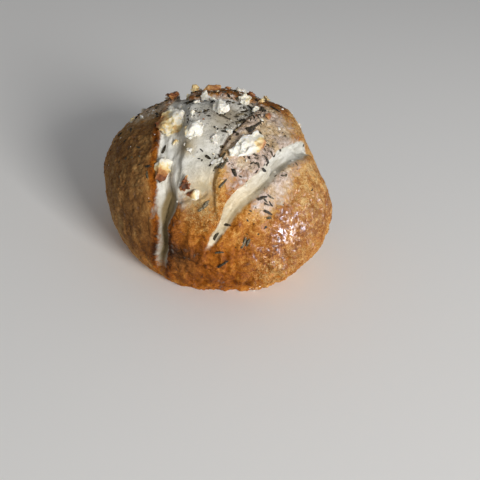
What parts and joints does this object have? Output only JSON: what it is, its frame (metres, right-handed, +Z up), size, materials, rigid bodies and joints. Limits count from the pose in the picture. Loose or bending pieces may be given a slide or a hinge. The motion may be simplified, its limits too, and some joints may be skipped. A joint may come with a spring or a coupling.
{
  "type": "feta rosemary roll",
  "caption": "Round slashed bread roll with a golden crust, pale dough burst open over the crown, crumbled feta and dried rosemary.",
  "frame": {"origin": "on the flat base, below the middle of the loaf", "axes": "+Z up, out of the crown; the side that the picture shows faces -Y; +X to the right as it is seen from there"},
  "size_m": [0.1143, 0.1128, 0.0855],
  "materials": {
    "baked_crust": "golden-brown baked crust, semi-glossy, with pale matte dough in the slashes and over the crown",
    "crumbled_feta": "dry crumbled feta, white to cream, toasted brown at some edges"
  },
  "bodies": {
    "root": {"roll": "baked_crust", "feta_01": "crumbled_feta", "feta_02": "crumbled_feta", "feta_03": "crumbled_feta", "feta_04": "crumbled_feta", "feta_05": "crumbled_feta", "feta_06": "crumbled_feta", "feta_07": "crumbled_feta", "feta_08": "crumbled_feta", "feta_09": "crumbled_feta", "feta_10": "crumbled_feta", "feta_11": "crumbled_feta", "feta_12": "crumbled_feta", "feta_13": "crumbled_feta", "feta_14": "crumbled_feta", "feta_15": "crumbled_feta"}
  },
  "joints": []
}
